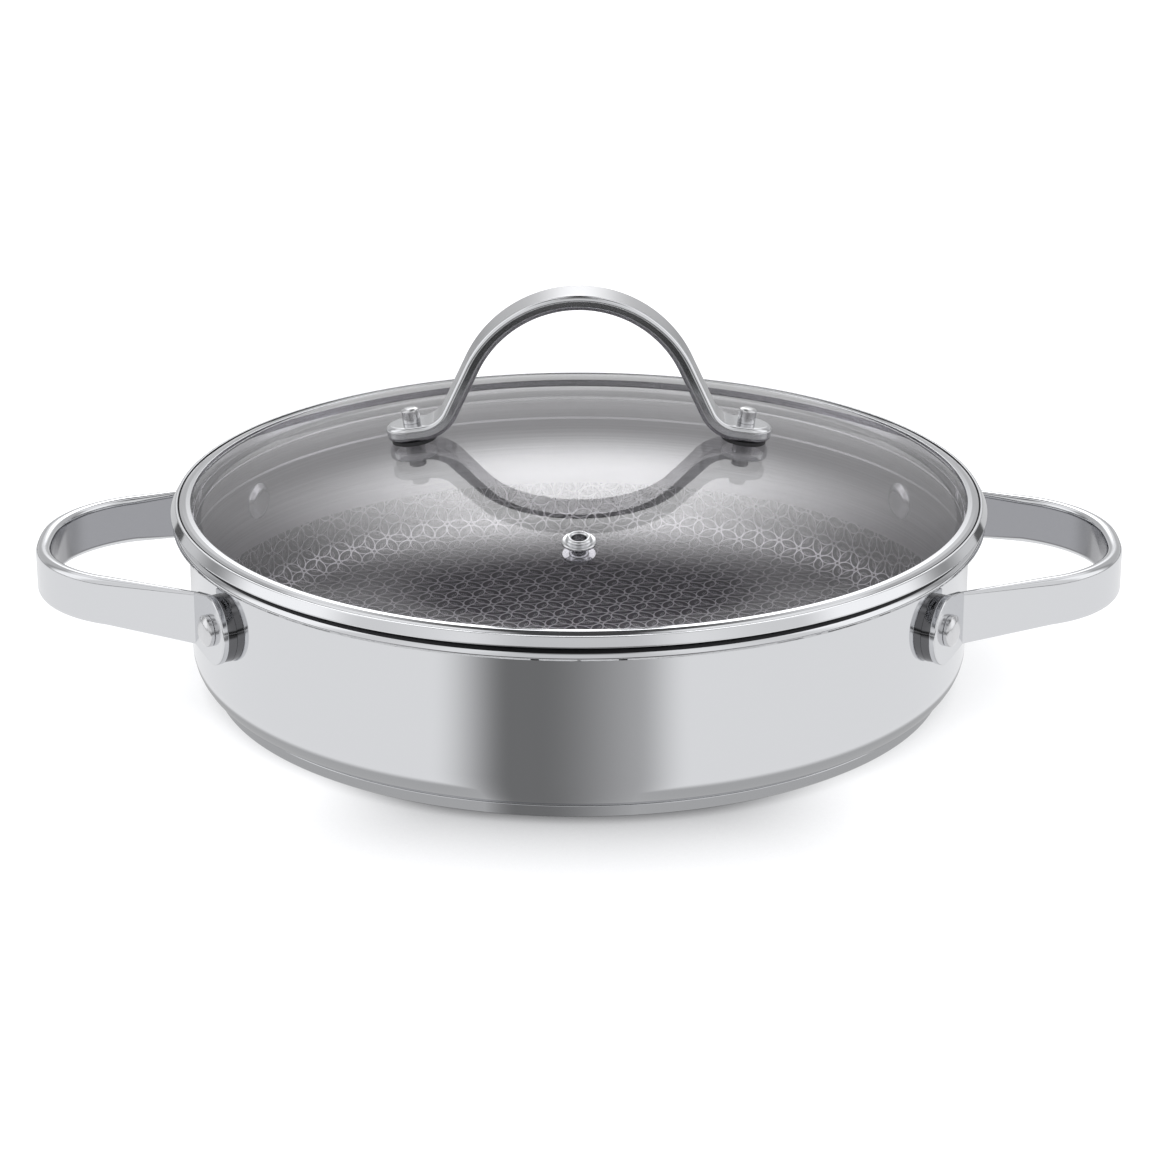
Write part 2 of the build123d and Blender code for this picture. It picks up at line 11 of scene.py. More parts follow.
import bmesh
import bpy
import numpy as np
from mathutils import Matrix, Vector

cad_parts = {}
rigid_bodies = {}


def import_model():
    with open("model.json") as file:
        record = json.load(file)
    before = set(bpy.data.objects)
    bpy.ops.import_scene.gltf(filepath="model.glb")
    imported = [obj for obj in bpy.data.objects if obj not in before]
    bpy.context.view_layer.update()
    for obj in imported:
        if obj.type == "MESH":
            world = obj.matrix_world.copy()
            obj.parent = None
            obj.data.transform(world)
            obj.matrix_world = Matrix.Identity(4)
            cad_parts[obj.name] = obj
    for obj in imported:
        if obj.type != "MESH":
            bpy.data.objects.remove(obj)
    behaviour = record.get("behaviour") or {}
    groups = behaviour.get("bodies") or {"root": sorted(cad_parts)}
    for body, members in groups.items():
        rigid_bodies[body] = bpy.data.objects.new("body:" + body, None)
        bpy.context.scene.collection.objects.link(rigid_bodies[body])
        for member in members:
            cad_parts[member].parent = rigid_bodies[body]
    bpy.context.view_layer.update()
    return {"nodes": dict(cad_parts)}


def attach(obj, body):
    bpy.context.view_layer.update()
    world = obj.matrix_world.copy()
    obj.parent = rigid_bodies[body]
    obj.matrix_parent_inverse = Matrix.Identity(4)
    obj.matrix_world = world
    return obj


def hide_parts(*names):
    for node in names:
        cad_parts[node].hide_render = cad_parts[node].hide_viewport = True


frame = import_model()

mm = 0.001
turn = 2 * np.pi

# %% [markdown]
# ## The camera
#
# The product is seen from the front and about 20 degrees above, through a long lens from
# a little over a metre. A long lens keeps the ellipses of the lid and base alike. The
# camera is placed on a circle round a target point at mid height, and looks at it.

# %% Camera
camera_elevation = np.radians(20.42)
camera_distance = 1310 * mm
target = np.array([0.0, 0.0, 35.3 * mm])

camera_data = bpy.data.cameras.new("camera")
camera_data.sensor_width = 36.0
camera_data.lens = 111.85
camera_data.clip_end = 50.0
camera = bpy.data.objects.new("camera", camera_data)
bpy.context.scene.collection.objects.link(camera)
camera.location = target + camera_distance * np.array(
    [0.0, -np.cos(camera_elevation), np.sin(camera_elevation)])
camera.rotation_euler = (np.pi / 2 - camera_elevation, 0.0, 0.0)
bpy.context.scene.camera = camera
print("camera at", [round(c, 3) for c in camera.location])

# %% [markdown]
# ## From a grid of points to a mesh
#
# Nearly every piece here is pressed, spun, bent or turned, so its surface is a grid: one
# direction follows a profile, the other follows a path or goes round an axis. A grid is
# worked out as one array and put into a mesh in one go. Rows that shrink to a point, as at
# the middle of a disc, are welded so that the surface is closed.


# %% Grid to mesh
def grid_faces(rows, columns, wrap_rows, wrap_columns):
    """Quads between neighbouring grid points; a wrapped direction also joins its last line to its first."""
    index = np.arange(rows * columns).reshape(rows, columns)
    if wrap_rows:
        index = np.vstack([index, index[:1]])
    if wrap_columns:
        index = np.hstack([index, index[:, :1]])
    quads = np.stack([index[:-1, :-1], index[1:, :-1], index[1:, 1:], index[:-1, 1:]], axis=-1)
    return quads.reshape(-1, 4)


def piece_from_grids(name, grids):
    """One object from grids given as (points, wrap_rows, wrap_columns), with points in metres."""
    vertices, faces, start = [], [], 0
    for points, wrap_rows, wrap_columns in grids:
        rows, columns = points.shape[:2]
        vertices.append(points.reshape(-1, 3))
        faces.append(grid_faces(rows, columns, wrap_rows, wrap_columns) + start)
        start += rows * columns
    mesh = bpy.data.meshes.new(name)
    mesh.from_pydata(np.concatenate(vertices).tolist(), [], np.concatenate(faces).tolist())
    welded = bmesh.new()
    welded.from_mesh(mesh)
    bmesh.ops.remove_doubles(welded, verts=welded.verts, dist=1e-6)
    bmesh.ops.recalc_face_normals(welded, faces=welded.faces)
    welded.to_mesh(mesh)
    welded.free()
    mesh.polygons.foreach_set("use_smooth", np.ones(len(mesh.polygons), bool))
    piece = bpy.data.objects.new(name, mesh)
    bpy.context.scene.collection.objects.link(piece)
    return piece


# %% [markdown]
# ## Profiles with rounded corners
#
# Sheet metal has no sharp corners, and a polished edge shows up as a thin bright line. So
# a profile is written as its corners, each with the radius that rounds it. Two guard
# points beside each arc keep the smooth shading of the arc off the flat next to it.


# %% Rounded profile
def unit(vectors):
    return vectors / np.linalg.norm(vectors, axis=-1, keepdims=True)


def arc_points(centre, start, end, steps):
    """Points round centre from start to end, the short way."""
    first, last = (np.arctan2(*(p - centre)[::-1]) for p in (start, end))
    sweep = (last - first + np.pi) % turn - np.pi
    angles = first + sweep * np.linspace(0, 1, steps + 1)
    radius = np.linalg.norm(start - centre)
    return centre + radius * np.stack([np.cos(angles), np.sin(angles)], axis=-1)


def rounded(corners, closed=True, steps=6, guard=0.12):
    """Corners (across, up, rounding) to points: each arc touches both sides of its corner, so its
    centre lies on the corner's bisector, rounding / sin(half the angle) away."""
    corners = np.array(corners, float)
    points = []
    for i, (across, up, rounding) in enumerate(corners):
        here = np.array([across, up])
        if rounding == 0 or (not closed and i in (0, len(corners) - 1)):
            points.append(here[None])
            continue
        before = unit(corners[i - 1, :2] - here)
        after = unit(corners[(i + 1) % len(corners), :2] - here)
        half = np.arccos(np.clip(before @ after, -1, 1)) / 2
        centre = here + unit(before + after) * rounding / np.sin(half)
        reach = rounding / np.tan(half)
        points += [(here + before * (reach + guard))[None],
                   arc_points(centre, here + before * reach, here + after * reach, steps),
                   (here + after * (reach + guard))[None]]
    return np.concatenate(points)


def spun_points(profile, steps=240, first=0.0, last=turn):
    """A profile of (radius, height) in mm carried round Z: x = r cos a, y = r sin a, z = h."""
    angles = np.linspace(first, last, steps, endpoint=last - first < turn)
    radius, height = profile[:, None, 0], profile[:, None, 1]
    return np.stack(np.broadcast_arrays(radius * np.cos(angles), radius * np.sin(angles),
                                        height + 0 * angles), axis=-1) * mm


def spun(name, profile, steps=240, closed=True):
    return piece_from_grids(name, [(spun_points(profile, steps), closed, True)])


# %% [markdown]
# ## The pan body
#
# The shell is one pressing of 1.2 mm steel: flat bottom, rounded corner, straight wall and
# a curled lip. A shallow step inside the wall, 12 mm under the lip, catches the light as
# one fine bright ring. Spinning one closed profile gives the inside and the outside at
# once, and material slots are then given to faces by where they are.

# %% Pan shell
wall_radius, inner_wall_radius = 140.5, 139.3
shell_bottom, floor_height, pan_height = 3.2, 4.4, 64.6
lip_radius, curl_height = 146.0, 61.25

shell_profile = rounded([
    (0, shell_bottom, 0),
    (wall_radius, shell_bottom, 13.0),
    (wall_radius, 63.4, 2.1),
    (144.8, 63.4, 2.1),
    (144.8, curl_height, 0.3),
    (lip_radius, curl_height, 0.4),
    (lip_radius, pan_height, 3.2),
    (inner_wall_radius, pan_height, 3.2),
    (inner_wall_radius, 52.6, 0.3),
    (inner_wall_radius - 0.35, 51.8, 0.3),
    (inner_wall_radius - 0.35, floor_height, 11.8),
    (0, floor_height, 0),
], closed=False, steps=10)
shell = spun("pan_body", shell_profile, steps=320, closed=False)
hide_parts("pan_shell")
print("pan body:", len(shell.data.polygons), "faces")

# %% [markdown]
# ## The base
#
# The capsule base is a steel cap pressed over an aluminium disc. From the side only the
# cap shows: a low band with a soft lower edge, and a fine seam where it closes on the
# shell's corner.

# %% Base cap
base_profile = rounded([
    (0, 0, 0),
    (132.8, 0, 1.2),
    (132.8, 4.25, 0.25),
    (132.2, 4.05, 0.1),
    (132.2, 0.6, 0.2),
    (0, 0.6, 0),
], closed=False)
base = spun("base_band", base_profile, steps=320, closed=False)
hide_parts("base_cap")

# %% [markdown]
# ## Straps
#
# The three handles are bent from flat bar with rounded edges. A strap is a rounded
# rectangle carried along a path: at each point of the path one direction goes across the
# bar's width and one through its thickness.


# %% Strap section along a path
def strap_section(width, thickness, edge, steps=6, guard=0.25):
    """Rounded rectangles, one a row: from each corner's centre, edge * (cos a, sin a) over a quarter."""
    width, thickness, edge = (np.atleast_1d(v)[:, None] for v in (width, thickness, edge))
    across, through = [], []
    for quarter in range(4):
        side = np.sign([np.cos(turn * (quarter + 0.5) / 4), np.sin(turn * (quarter + 0.5) / 4)])
        angle = turn / 4 * (quarter + np.linspace(0, 1, steps + 1))
        x = side[0] * (width / 2 - edge) + edge * np.cos(angle)
        y = side[1] * (thickness / 2 - edge) + edge * np.sin(angle)
        before = np.array([-np.sin(angle[0]), np.cos(angle[0])]) * -guard
        after = np.array([-np.sin(angle[-1]), np.cos(angle[-1])]) * guard
        across += [x[:, :1] + before[0], x, x[:, -1:] + after[0]]
        through += [y[:, :1] + before[1], y, y[:, -1:] + after[1]]
    return np.concatenate(across, axis=1), np.concatenate(through, axis=1)


def strap_points(centres, width_way, thickness_way, width, thickness, edge):
    """Grid of path points by section points: centre + width_way * across + thickness_way * through."""
    across, through = strap_section(width, thickness, edge)
    width_way, thickness_way = (np.broadcast_to(w, centres.shape) for w in (width_way, thickness_way))
    return (centres[:, None] + across[..., None] * width_way[:, None]
            + through[..., None] * thickness_way[:, None]) * mm


# %% [markdown]
# ## The side handles
#
# Each side handle is a level loop: a long shallow curve to grip, two rounded corners, and
# two legs that get thinner and taller towards their feet. The path is described by its
# outer face, which runs straight down each leg to the crease where the foot turns back to
# lie along the wall.

# %% Side handle path
handle_height, foot_height = 43.4, 42.3
handle_reach, grip_radius, corner_radius = 196.1, 108.0, 44.5
strap_height, strap_thickness, foot_thickness, neck_height = 17.7, 5.6, 2.3, 19.3
foot_radius, neck_offset, neck_reach = 12.3, 12.6, 13.4
foot_turn, leg_turn = np.radians(28.6), np.radians(20.6)
foot_face = wall_radius + 0.05 + 2.65 + foot_thickness

foot_normal = np.array([np.cos(foot_turn), np.sin(foot_turn)])
foot_along = np.array([np.sin(foot_turn), -np.cos(foot_turn)])
leg_normal = np.array([np.sin(leg_turn), np.cos(leg_turn)])
leg_way = np.array([np.cos(leg_turn), -np.sin(leg_turn)])
crease = foot_face * foot_normal + neck_offset * foot_along

grip_centre = np.array([handle_reach - grip_radius, 0.0])
inside_leg = leg_normal @ (crease - grip_centre) - corner_radius
corner_centre = (grip_centre + leg_normal * inside_leg
                 + leg_way * np.sqrt((grip_radius - corner_radius) ** 2 - inside_leg ** 2))
bend_angle = np.arctan2(*(corner_centre - grip_centre)[::-1])


def half_handle_path():
    """Outer-face points and outward directions from the rear foot's crease to the middle of the grip."""
    fan = np.linspace(foot_turn, np.pi / 2 - leg_turn, 7)
    leg_length = leg_way @ (corner_centre - crease)
    along = np.linspace(0, leg_length, 24)[1:]
    corner = np.linspace(np.pi / 2 - leg_turn, bend_angle, 28)[1:]
    grip = np.linspace(bend_angle, 0, 28)[1:]
    directions = np.concatenate([fan, np.full(len(along), fan[-1]), corner, grip])
    outward = np.stack([np.cos(directions), np.sin(directions)], axis=-1)
    faces = np.concatenate([
        np.repeat(crease[None], len(fan), axis=0),
        crease + along[:, None] * leg_way,
        corner_centre + corner_radius * np.stack([np.cos(corner), np.sin(corner)], axis=-1),
        grip_centre + grip_radius * np.stack([np.cos(grip), np.sin(grip)], axis=-1),
    ])
    share = np.concatenate([np.zeros(len(fan)), along / leg_length,
                            np.ones(len(corner) + len(grip))])
    return faces, outward, share


faces, outward, share = half_handle_path()
flip = np.array([1, -1])
faces = np.concatenate([faces, faces[-2::-1] * flip])
outward = np.concatenate([outward, outward[-2::-1] * flip])
share = np.concatenate([share, share[-2::-1]])
print("grip is", round(2 * float(corner_centre[1] + corner_radius), 1), "mm wide")

# %% [markdown]
# ## The feet
#
# A foot is a round plate with two straight flanks that widen out to meet the leg. Seen
# from its middle, its edge is a function of direction: a circle at the back, a straight
# flank that touches the circle, and the short straight neck, which reaches a little way
# into the leg so that no gap shows at the crease. That makes it a polar grid.


# %% Foot plate
def foot_edge(angles):
    """Distance from the rivet's axis to the plate's edge, with 0 towards the leg."""
    angles = np.abs((angles + np.pi) % turn - np.pi)
    neck_angle = np.arctan2(neck_height / 2, neck_reach)
    touch_angle = neck_angle + np.arccos(foot_radius / np.hypot(neck_reach, neck_height / 2))
    return np.where(angles < neck_angle, neck_reach / np.cos(angles),
                    np.where(angles < touch_angle, foot_radius / np.cos(angles - touch_angle),
                             foot_radius))


def foot_grid(steps=144):
    """Plate profile through its thickness, stretched to the edge distance in each direction."""
    angles = np.linspace(0, turn, steps, endpoint=False)
    edge = foot_edge(angles)
    rim = rounded([(0, 0, 0), (1, 0, 0.55), (1, -foot_thickness, 0.3), (0, -foot_thickness, 0)],
                  closed=False, steps=6)
    inset = np.where(rim[:, 0] > 0.02, rim[:, 0] - 1, 0)
    core = rim[:, 0] <= 0.02
    reach = np.where(core[:, None], 0, edge[None, :] + inset[:, None])
    through = foot_face + rim[:, 1][:, None] + 0 * edge
    along = reach * np.cos(angles)
    up = foot_height + reach * np.sin(angles)
    plan = through[..., None] * foot_normal + along[..., None] * foot_along
    return np.concatenate([plan, up[..., None]], axis=-1) * mm


# %% Build both side handles
def side_handle(name, side):
    """side is 1 for the right handle and -1 for the left: the same grids mirrored in X."""
    thickness = foot_thickness + (strap_thickness - foot_thickness) * share
    height = neck_height + (strap_height - neck_height) * share
    edge = 0.43 * thickness
    middle = faces - outward * thickness[:, None] / 2
    level = foot_height + (handle_height - foot_height) * share
    centres = np.column_stack([middle, level])
    outward_3d = np.column_stack([outward, np.zeros(len(outward))])
    strap = strap_points(centres, np.array([0.0, 0.0, 1.0]), outward_3d, height, thickness, edge)
    rear_foot = foot_grid()
    front_foot = rear_foot * np.array([1, -1, 1])
    mirror = np.array([side, 1, 1])
    return piece_from_grids(name, [(strap * mirror, False, True),
                                   (rear_foot * mirror, False, True),
                                   (front_foot * mirror, False, True)])


handle_right = side_handle("side_handle_right", 1)
handle_left = side_handle("side_handle_left", -1)
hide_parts("handle_right")
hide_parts("handle_left")

# %% [markdown]
# ## Rivets
#
# Each foot is held by one big rivet. Its outer head is a round button with a soft edge;
# inside the pan it ends in a low crown. Both are turned shapes on the rivet's own axis.


# %% Rivets on the wall
def placed(points, origin, axis_way, side_way):
    """Points of a shape spun round Z, moved so that Z lies along axis_way at origin."""
    third_way = np.cross(axis_way, side_way)
    return (origin + points[..., :1] * side_way + points[..., 1:2] * third_way
            + points[..., 2:] * axis_way)


outer_head = rounded([(0, 3.2, 0), (3.6, 3.05, 4.0), (5.6, 1.9, 1.1), (5.6, 0.05, 0.3), (0, 0.05, 0)],
                     closed=False)
inner_seat = np.sqrt(inner_wall_radius ** 2 - 7.2 ** 2)
inner_head = rounded([(0, -2.4, 0), (5.0, -2.1, 4.0), (7.2, -0.7, 1.0), (7.2, 0.0, 0.2), (0, 0.0, 0)],
                     closed=False)


def rivet(name, azimuth):
    way = np.array([np.cos(azimuth), np.sin(azimuth), 0.0])
    up = np.array([0.0, 0.0, 1.0])
    base_point = np.array([0, 0, foot_height * mm])
    heads = [placed(spun_points(profile, 72), base_point + way * seat * mm, way, up)
             for profile, seat in ((outer_head, foot_face), (inner_head, inner_seat))]
    return piece_from_grids(name, [(head, False, True) for head in heads])


foot_angles = {"right_rear": 28.6, "right_front": -28.6, "left_front": 208.6, "left_rear": 151.4}
rivets = {}
for place, azimuth in foot_angles.items():
    rivets[place] = rivet(f"rivet_{place}", np.radians(azimuth))
    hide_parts(f"handle_rivet_{place}")

# %% [markdown]
# ## The glass
#
# The lid is toughened glass 4 mm thick: a shallow sphere, a steeper shoulder and a narrow
# flat edge that sits in the steel rim. The outer face is found first, and the inner face
# lies one thickness inside it along the surface's own direction.

# %% Lid glass
glass_thickness, dome_radius, dome_top = 4.0, 440.84, 92.7
dome_centre = dome_top - dome_radius
shoulder_radius, land_radius, glass_edge_radius = 133.5, 139.2, 142.8
land_bottom, land_top = 65.35, 69.35


def dome_height(radius, sphere=dome_radius):
    return dome_centre + np.sqrt(sphere ** 2 - radius ** 2)


def tangent_arc(start, way, end, steps=8):
    """Arc that leaves start along way and ends at end: its centre is square to way at start,
    as far from start as (chord squared) / (2 * chord dot normal)."""
    normal = np.array([-way[1], way[0]])
    chord = end - start
    centre = start + normal * (chord @ chord) / (2 * (normal @ chord))
    return arc_points(centre, start, end, steps)


outer_radii = np.linspace(0, shoulder_radius, 60)
outer_dome = np.column_stack([outer_radii, dome_height(outer_radii)])
inner_scale = (dome_radius - glass_thickness) / dome_radius
inner_dome = (outer_dome - [0, dome_centre]) * inner_scale + [0, dome_centre]
slope = unit(np.array([outer_dome[-1, 1] - dome_centre, -shoulder_radius]))
outer_shoulder = tangent_arc(outer_dome[-1], slope, np.array([land_radius, land_top]))
drop = np.arctan2(outer_dome[-1, 1] - land_top, land_radius - shoulder_radius)
inner_land = land_radius - glass_thickness * np.sin(drop) / (1 + np.cos(drop))
inner_shoulder = tangent_arc(inner_dome[-1], slope, np.array([inner_land, land_bottom]))
ground_edge = rounded([(land_radius, land_top, 0), (glass_edge_radius, land_top, 0.8),
                       (glass_edge_radius, land_bottom, 0.8), (inner_land, land_bottom, 0)],
                      closed=False)
glass_profile = np.concatenate([outer_dome, outer_shoulder[1:], ground_edge[1:-1],
                                inner_shoulder[::-1], inner_dome[-2::-1]])
glass = spun("lid_dome", glass_profile, steps=288, closed=False)
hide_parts("lid_glass")

# %% [markdown]
# ## The lid's rim
#
# A band of thin steel is rolled round the glass. A leaf grips the glass from above and
# falls a little outwards, a fine groove, painted dark as shade, parts it from the sloping
# outer bead, and a skirt with a rolled hem drops into the pan.

# %% Lid rim
rim_profile = rounded([
    (137.95, 59.8, 0.42),
    (138.85, 59.8, 0.42),
    (138.85, 60.6, 0.3),
    (138.8, 60.9, 0.1),
    (138.8, 64.8, 0.3),
    (143.6, 64.8, 0.3),
    (146.0, 65.7, 0.3),
    (146.7, 65.75, 0.35),
    (146.65, 66.3, 0.3),
    (144.95, 69.3, 0.45),
    (144.15, 69.3, 0.2),
    (143.8, 68.7, 0.1),
    (143.5, 69.1, 0.15),
    (142.6, 69.5, 1.2),
    (141.2, 69.85, 1.5),
    (139.5, 69.9, 0.2),
    (139.5, 69.4, 0.1),
    (142.95, 69.2, 0.2),
    (142.95, 65.3, 0.2),
    (138.3, 65.3, 0.2),
    (138.3, 60.9, 0.1),
    (137.95, 60.6, 0.3),
], guard=0.04)
rim = spun("lid_band", rim_profile, steps=360)
print("rim profile:", len(rim_profile), "points")
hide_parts("lid_rim")

# %% [markdown]
# ## The steam vent
#
# The vent is a small eyelet on the front of the dome, square to the glass there. The
# frame on the dome has its Z along the direction from the sphere's centre.


# %% Places on the dome
def dome_frame(radius, azimuth):
    """Origin on the glass, the glass's own upward direction there, and a level sideways direction."""
    tilt = np.arcsin(radius / dome_radius)
    up = np.array([np.sin(tilt) * np.cos(azimuth), np.sin(tilt) * np.sin(azimuth), np.cos(tilt)])
    side = np.array([-np.sin(azimuth), np.cos(azimuth), 0.0])
    origin = (np.array([0, 0, dome_centre]) + up * dome_radius) * mm
    return origin, up, side


eyelet_profile = rounded([
    (2.5, -6.2, 0.1), (2.5, 2.55, 0.75), (4.3, 2.55, 0.85), (4.4, 1.2, 0.25), (5.9, 1.15, 0.5),
    (5.9, 0.05, 0.3), (3.3, 0.05, 0), (3.3, -5.1, 0.1), (4.3, -5.7, 0.1), (4.3, -6.2, 0.1)], guard=0.03)
origin, up, side = dome_frame(93.0, -np.pi / 2)
eyelet = piece_from_grids("steam_eyelet", [(placed(spun_points(eyelet_profile, 96), origin, up, side),
                                            True, True)])
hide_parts("vent_eyelet")

# %% [markdown]
# ## The lid's handle
#
# The lid's handle is the same kind of bar, bent as an arch on two flat lugs. Its path lies
# in one upright plane: the lug's end, a short flat under the post, a bend up into the leg,
# and the round top. Each lug ends in a half turn of the same section.

# %% Lid handle
arch_width, arch_thickness, arch_edge = 16.0, 5.4, 1.7
lug_radius, lug_round_offset, lug_lift = 59.0, 1.4, 1.3
arch_bend, lug_flat, arch_leg = 12.8, 3.8, np.radians(65.0)
lug_tilt = np.arcsin(lug_radius / dome_radius)

lug_out = np.array([np.cos(lug_tilt), -np.sin(lug_tilt)])
lug_up = np.array([np.sin(lug_tilt), np.cos(lug_tilt)])
arch_leg_out = np.array([np.sin(arch_leg), np.cos(arch_leg)])
post_middle = np.array([0, dome_centre]) + lug_up * (dome_radius + lug_lift + arch_thickness / 2)
lug_end = post_middle + lug_out * lug_round_offset
bend_start = post_middle - lug_out * lug_flat
bend_centre = bend_start + lug_up * arch_bend
bend_end = bend_centre - arch_leg_out * arch_bend
arch_centre = np.array([0, dome_top + 6.8])
arch_radius = arch_leg_out @ (bend_end - arch_centre)
shoulder_point = arch_centre + arch_leg_out * arch_radius
print("arch radius", round(float(arch_radius), 2), "mm")

half_arch = np.concatenate([
    np.linspace(lug_end, bend_start, 4),
    arc_points(bend_centre, bend_start, bend_end, 18)[1:],
    np.linspace(bend_end, shoulder_point, 6)[1:],
    arc_points(arch_centre, shoulder_point, arch_centre + [0, arch_radius], 36)[1:],
])
arch_path = np.concatenate([half_arch, half_arch[-2::-1] * [-1, 1]])
arch_ways = np.gradient(arch_path, axis=0)
arch_ways[[0, -1]] = [-lug_out, -lug_out * [1, -1]]
arch_ways = unit(arch_ways)
arch_outward = np.column_stack([arch_ways[:, 1], -arch_ways[:, 0]])


def upright(points):
    """Points of the upright plane (x, z) as (x, 0, z)."""
    return np.stack([points[..., 0], 0 * points[..., 0], points[..., 1]], axis=-1)


def lug_round(side):
    """Half turn of the strap's own section round the lug's upright axis."""
    across, through = strap_section(arch_width, arch_thickness, arch_edge)
    profile = np.column_stack([across[0], through[0]])
    profile = np.roll(profile, len(profile) // 4, axis=0)
    half = profile[profile[:, 0] >= 0]
    half = half[np.argsort(np.arctan2(half[:, 1], half[:, 0] + 1e-9))]
    half = np.concatenate([[[0, -arch_thickness / 2]], half, [[0, arch_thickness / 2]]])
    points = spun_points(half, 49, -np.pi / 2, np.pi / 2)
    out, up = upright(lug_out * [side, 1]), upright(lug_up * [side, 1])
    origin = upright(lug_end * [side, 1]) * mm
    return (origin + points[..., :1] * out + points[..., 1:2] * np.array([0.0, 1.0, 0.0])
            + points[..., 2:] * up)


arch = piece_from_grids("lid_arch", [
    (strap_points(upright(arch_path), np.array([0.0, 1.0, 0.0]), upright(arch_outward),
                  arch_width, arch_thickness, arch_edge), False, True),
    (lug_round(1), False, False),
    (lug_round(-1), False, False),
])
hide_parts("lid_handle")

# %% [markdown]
# ## The posts on the lugs
#
# Each lug is clamped by a threaded post whose plain top shows as a small stud.

# %% Posts
post_profile = rounded([(0, 12.1, 0), (1.9, 12.0, 1.5), (3.2, 11.5, 0.6), (3.2, 6.7, 0.15), (0, 6.7, 0)],
                       closed=False)
posts = {}
for name, azimuth in (("right", 0.0), ("left", np.pi)):
    origin, up, side = dome_frame(lug_radius, azimuth)
    posts[name] = piece_from_grids(f"stud_{name}", [
        (placed(spun_points(post_profile, 64), origin, up, side), False, True)])
    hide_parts(f"lid_post_{name}")


# %% [markdown]
# ## Writing shaders as sums
#
# A material is easier to read as arithmetic than as a tangle of nodes. `Link` wraps an
# output socket so that +, -, * and / add the Math nodes. `Shader.node` adds any other node
# from its settings and inputs.


# %% Shader arithmetic
degrees = 180 / np.pi


class Link:
    """An output socket that adds Math nodes when it is used in a sum."""

    def __init__(self, tree, socket):
        self.tree, self.socket = tree, socket

    def _math(self, operation, *values):
        node = self.tree.nodes.new("ShaderNodeMath")
        node.operation = operation
        for slot, value in zip(node.inputs, values):
            if isinstance(value, Link):
                self.tree.links.new(value.socket, slot)
            else:
                slot.default_value = value
        return Link(self.tree, node.outputs[0])

    def __add__(self, other):
        return self._math("ADD", self, other)

    def __sub__(self, other):
        return self._math("SUBTRACT", self, other)

    def __rsub__(self, other):
        return self._math("SUBTRACT", other, self)

    def __mul__(self, other):
        return self._math("MULTIPLY", self, other)

    def __truediv__(self, other):
        return self._math("DIVIDE", self, other)

    def __pow__(self, other):
        return self._math("POWER", self, other)

    def __abs__(self):
        return self._math("ABSOLUTE", self)

    __radd__, __rmul__ = __add__, __mul__

    def sine(self):
        return self._math("SINE", self)

    def root(self):
        return self._math("SQRT", self)

    def arc_sine(self):
        """The angle in degrees whose sine this is."""
        return self._math("ARCSINE", self) * degrees

    def direction(self, other):
        """The angle in degrees, all the way round, whose tangent is self / other."""
        return self._math("ARCTAN2", self, other) * degrees

    def off_centre(self):
        """Distance to the nearest whole number, with its sign."""
        return self - self._math("ROUND", self)

    def least(self, other):
        return self._math("MINIMUM", self, other)

    def most(self, other):
        return self._math("MAXIMUM", self, other)

    def ramp(self, low, high):
        """0 at low and 1 at high, with soft ends; high may be under low."""
        node = self.tree.nodes.new("ShaderNodeMapRange")
        node.interpolation_type = "SMOOTHSTEP"
        swap = high < low
        self.tree.links.new(self.socket, node.inputs["Value"])
        node.inputs["From Min"].default_value = min(low, high)
        node.inputs["From Max"].default_value = max(low, high)
        node.inputs["To Min"].default_value = float(swap)
        node.inputs["To Max"].default_value = float(not swap)
        return Link(self.tree, node.outputs["Result"])


